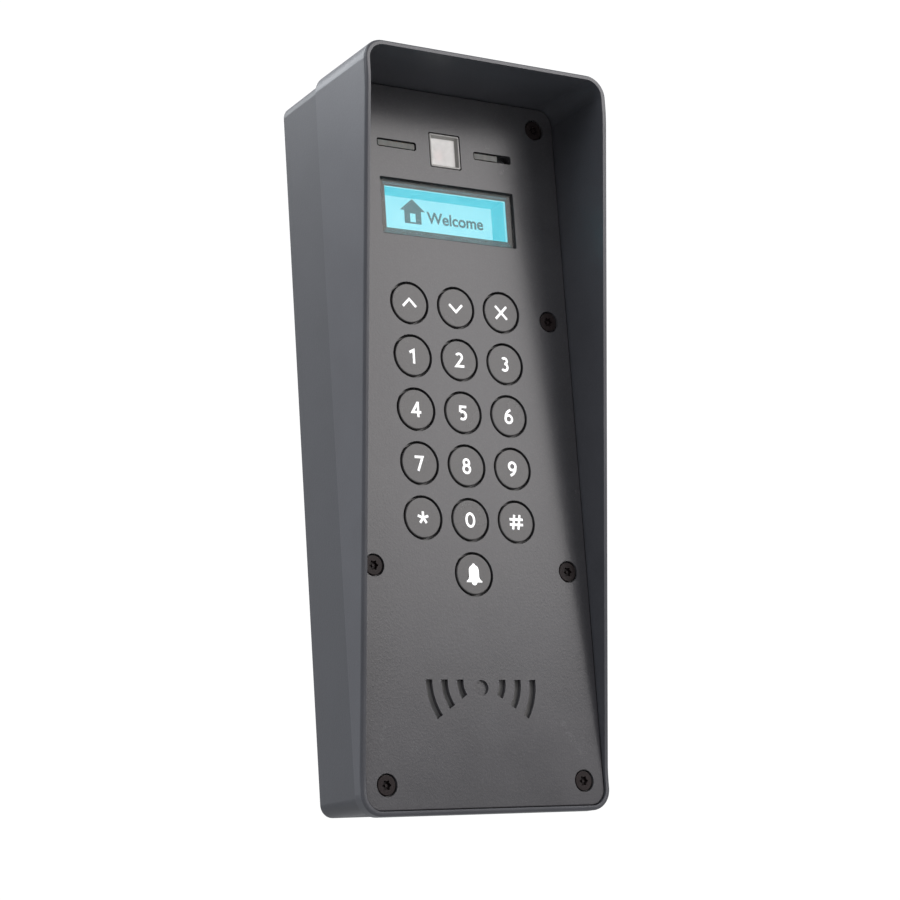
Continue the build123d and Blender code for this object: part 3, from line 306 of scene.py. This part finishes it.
ink = Finish("display_ink", 0.5)
blotch = ink.spread(ink.noise(0.6 * MM), 0, 1)
ink.set("Base Color", ink.mix(blotch, (0.03, 0.06, 0.065), (0.036, 0.07, 0.076)))
ink.set("Emission Color", ink.mix(blotch, (0.05, 0.125, 0.14), (0.06, 0.14, 0.155)))
ink.shader.inputs["Emission Strength"].default_value = 1.0

INK_GAP, INK_DEPTH = 0.03 * MM, 0.02 * MM      # off the glass, and each way from its middle
ink_place = middle_of("display_glass")
ink_place.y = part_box("display_glass")[0].y - INK_GAP
FACE_VISITOR = Matrix.Rotation(math.radians(90), 4, "X")


def ink_piece(name, data, x, z):
    """Puts a flat curve or text on the front of the display glass."""
    data.extrude = INK_DEPTH
    data.materials.append(ink.material)
    piece = bpy.data.objects.new(name, data)
    bpy.context.scene.collection.objects.link(piece)
    piece.matrix_world = Matrix.Translation(ink_place + Vector((x, 0, z))) @ FACE_VISITOR
    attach(piece, "root")


def house_picture():
    """Flat outline of a house with its doorway cut out."""
    picture = bpy.data.curves.new("display_house", "CURVE")
    picture.dimensions = "2D"
    picture.fill_mode = "BOTH"
    walls = ((-3.6, -4.6), (3.6, -4.6), (3.6, 0.4), (5.4, 0.4), (0, 5.0), (-5.4, 0.4), (-3.6, 0.4))
    door = ((-1.2, -4.0), (-1.2, -0.6), (1.2, -0.6), (1.2, -4.0))
    for outline in (walls, door):
        spline = picture.splines.new("POLY")
        spline.points.add(len(outline) - 1)
        for point, (u, v) in zip(spline.points, outline):
            point.co = (u * MM, v * MM, 0, 1)
        spline.use_cyclic_u = True
    return picture


greeting = bpy.data.curves.new("display_greeting", "FONT")
greeting.body = "Welcome"
greeting.size = 6.2 * MM
greeting.offset = 0.13 * MM
greeting.align_x = "LEFT"
ink_piece("display_house", house_picture(), -14.9 * MM, -0.8 * MM)
ink_piece("display_greeting", greeting, -8.6 * MM, -4.4 * MM)


# ---- small fitted pieces: black fill as painted shade in the display gap, camera baffle, cloth behind the sound slots ---
baffle = moulded("camera_baffle", (0.62, 0.61, 0.59), 0.5)
cloth = moulded("sound_cloth", (0.13, 0.127, 0.125), 0.75, 0.3 * MM, 0.05 * MM, 0.2)

# black fill in the display window gap: painted shade where the gap is only dark
SHADE_FILL_SUNK, SHADE_FILL_RISE, SHADE_FILL_RADIUS = 0.75 * MM, 0.12 * MM, 0.6 * MM
SHADE_FILL_INNER, SHADE_FILL_CREST, SHADE_FILL_OUTER = 0.02 * MM, 0.25 * MM, 0.48 * MM     # out from the window
SHADE_FILL_BACK = 0.05 * MM                          # past the back of the window

SLOT_RADII = (8.95, 15.5, 21.9)                # mm, middle of each sound slot
SLOT_WIDTH, SLOT_TOP, SLOT_LOW = 2.6, 1.08, -33.8    # mm, mm above centre, degrees
CLOTH_SUNK, CLOTH_THICKNESS, CLOTH_STEPS = 1.7, 0.3, 16


def rounded_rectangle(centre, width, height, radius, y, steps=6):
    """Loop of points round a rounded rectangle facing the visitor, at depth y."""
    loop = []
    for corner, (u, v) in enumerate(((1, 1), (-1, 1), (-1, -1), (1, -1))):
        for step in range(steps + 1):
            angle = math.radians(90 * (corner + step / steps))
            x = centre.x + u * (width / 2 - radius) + radius * math.cos(angle)
            z = centre.z + v * (height / 2 - radius) + radius * math.sin(angle)
            loop.append((x, y, z))
    return loop


def skin(name, stacks, material, ring=False):
    """Rigid piece on the body, skinned over stacks of loops. A ring joins its ends up."""
    shell = bmesh.new()
    for loops in stacks:
        rows = [[shell.verts.new(point) for point in loop] for loop in loops]
        pairs = list(zip(rows, rows[1:] + rows[:1]))
        for row, following in pairs if ring else pairs[:-1]:
            for i in range(len(row)):
                j = (i + 1) % len(row)
                shell.faces.new((row[i], row[j], following[j], following[i]))
        if not ring:
            shell.faces.new(rows[0])
            shell.faces.new(rows[-1])
    bmesh.ops.recalc_face_normals(shell, faces=shell.faces)
    mesh = bpy.data.meshes.new(name)
    shell.to_mesh(mesh)
    shell.free()
    mesh.materials.append(material)
    piece = bpy.data.objects.new(name, mesh)
    bpy.context.scene.collection.objects.link(piece)
    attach(piece, "root")


def display_gap_shade():
    """Black fill in the gap round the display window, sunk below the panel's face: painted shade standing
    in for the dark gap.
    """
    window_low, window_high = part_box("display_window")
    top, bottom = window_low.y + SHADE_FILL_SUNK, window_high.y + SHADE_FILL_BACK
    section = ((SHADE_FILL_INNER, bottom), (SHADE_FILL_INNER, top), (SHADE_FILL_CREST, top + SHADE_FILL_RISE),
               (SHADE_FILL_OUTER, top), (SHADE_FILL_OUTER, bottom))
    loops = []
    for out, y in section:
        width = window_high.x - window_low.x + 2 * out
        height = window_high.z - window_low.z + 2 * out
        loops.append(rounded_rectangle(middle_of("display_window"), width, height, SHADE_FILL_RADIUS, y))
    skin("display_gap_shade", [loops], rubber.material, ring=True)


def camera_baffle():
    """Pale square plate behind the camera pane, with a round hole in front of the lens."""
    centre = middle_of("camera_pane")
    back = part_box("camera_pane")[1].y
    loops = []
    for size, radius, y in ((11.4, 0.5, 0.9), (11.4, 0.5, 0.5), (8.8, 4.4, 0.5), (8.4, 4.2, 0.9)):
        loops.append(rounded_rectangle(centre, size * MM, size * MM, radius * MM, back + y * MM))
    skin("camera_baffle", [loops], baffle.material, ring=True)


def sound_cloth():
    """Acoustic cloth showing in each sound slot, a little below the panel's face."""
    centre = middle_of("loudspeaker")
    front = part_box("front_panel")[0].y + CLOTH_SUNK * MM
    stacks = []
    for radius in SLOT_RADII:
        rails = [radius - SLOT_WIDTH / 2, radius + SLOT_WIDTH / 2]
        for side in (-1, 1):
            loops = []
            for step in range(CLOTH_STEPS + 1):
                rows = []
                for rail in rails:
                    start = math.degrees(math.asin(SLOT_TOP / rail))
                    angle = math.radians(start + (SLOT_LOW - start) * step / CLOTH_STEPS)
                    rows.append((side * rail * math.cos(angle) * MM, rail * math.sin(angle) * MM))
                (x0, z0), (x1, z1) = rows
                corners = ((x0, z0, 0), (x1, z1, 0),
                           (x1, z1, CLOTH_THICKNESS), (x0, z0, CLOTH_THICKNESS))
                loops.append([(centre.x + x, front + y * MM, centre.z + z) for x, z, y in corners])
            stacks.append(loops)
    skin("sound_cloth", stacks, cloth.material)


display_gap_shade()
camera_baffle()
sound_cloth()


# ---- studio: white behind, a dimmer light all round that grows towards the wall, softboxes ------
world = bpy.data.worlds.new("studio")
bpy.context.scene.world = world
world.use_nodes = True
sky = world.node_tree
backdrop = sky.nodes["Background"]
backdrop.inputs["Color"].default_value = (1, 1, 1, 1)
backdrop.inputs["Strength"].default_value = 1.05
fill = sky.nodes.new("ShaderNodeBackground")
fill.inputs["Color"].default_value = (0.93, 0.95, 1, 1)
heading = sky.nodes.new("ShaderNodeTexCoord")
parts = sky.nodes.new("ShaderNodeSeparateXYZ")
depth = sky.nodes.new("ShaderNodeMapRange")
depth.interpolation_type = "SMOOTHSTEP"
for socket, number in (("From Min", -0.4), ("From Max", 0.7), ("To Min", 0.38), ("To Max", 0.72)):
    depth.inputs[socket].default_value = number
rays = sky.nodes.new("ShaderNodeLightPath")
either = sky.nodes.new("ShaderNodeMixShader")
sky.links.new(heading.outputs["Generated"], parts.inputs["Vector"])
sky.links.new(parts.outputs["Y"], depth.inputs["Value"])
sky.links.new(depth.outputs["Result"], fill.inputs["Strength"])
sky.links.new(rays.outputs["Is Camera Ray"], either.inputs["Fac"])
sky.links.new(fill.outputs["Background"], either.inputs[1])
sky.links.new(backdrop.outputs["Background"], either.inputs[2])
sky.links.new(either.outputs["Shader"], sky.nodes["World Output"].inputs["Surface"])

FLOOR_DROP, FLOOR_SIZE = 0.32, 12
bpy.ops.mesh.primitive_plane_add(size=FLOOR_SIZE, location=(0, 0, cad_low.z - FLOOR_DROP))
floor = bpy.context.object
floor.name = "studio_floor"
paper = Finish("studio_paper", 0.8)
paper.set("Base Color", paper.mix(paper.spread(paper.noise(0.4, 2), 0, 1), (0.38,) * 3, (0.42,) * 3))
floor.data.materials.append(paper.material)

middle = (cad_low + cad_high) / 2


def around(azimuth, elevation, distance, target=middle):
    """Point at this distance; azimuth 0 is in front of the panel and grows towards -X."""
    a, e = math.radians(azimuth), math.radians(elevation)
    away = Vector((-math.sin(a) * math.cos(e), -math.cos(a) * math.cos(e), math.sin(e)))
    return target + distance * away


def softbox(name, azimuth, elevation, distance, width, height, radiance, colour):
    """Rectangular lamp aimed at the panel, set by the brightness of its face."""
    data = bpy.data.lights.new(name, "AREA")
    data.shape = "RECTANGLE"
    data.size, data.size_y = width, height
    data.energy = radiance * math.pi * width * height
    data.color = colour
    lamp = bpy.data.objects.new(name, data)
    bpy.context.scene.collection.objects.link(lamp)
    lamp.location = around(azimuth, elevation, distance)
    lamp.rotation_euler = (middle - lamp.location).to_track_quat("-Z", "Y").to_euler()
    lamp.visible_camera = False


softbox("front_right_box", -42, 28, 2.2, 1.8, 1.8, 3.9, (1, 0.97, 0.96))
softbox("left_box", 140, 44, 2.0, 1.5, 1.2, 4.2, (0.92, 0.96, 1))
softbox("left_front_box", 64, 42, 2.0, 1.3, 1.3, 3.4, (0.92, 0.96, 1))


# ---- camera: front left, a little below the panel's middle, turned slightly clockwise -----------
CAMERA_AIM = Vector((-0.0067, -0.0338, -0.0046))
CAMERA_AZIMUTH, CAMERA_ELEVATION, CAMERA_ROLL = 32.441, -12.318, 3.852
CAMERA_DISTANCE, CAMERA_LENS = 0.8275, 91.006
SENSOR_WIDTH, NEAREST = 36, 0.05

camera_data = bpy.data.cameras.new("camera")
camera_data.lens = CAMERA_LENS
camera_data.sensor_width = SENSOR_WIDTH
camera_data.clip_start = NEAREST
camera = bpy.data.objects.new("camera", camera_data)
bpy.context.scene.collection.objects.link(camera)
camera.location = around(CAMERA_AZIMUTH, CAMERA_ELEVATION, CAMERA_DISTANCE, CAMERA_AIM)
level = (CAMERA_AIM - camera.location).to_track_quat("-Z", "Y").to_matrix()
camera.rotation_euler = (level @ Matrix.Rotation(math.radians(-CAMERA_ROLL), 3, "Z")).to_euler()
bpy.context.scene.camera = camera
bpy.context.scene.view_settings.view_transform = "Standard"
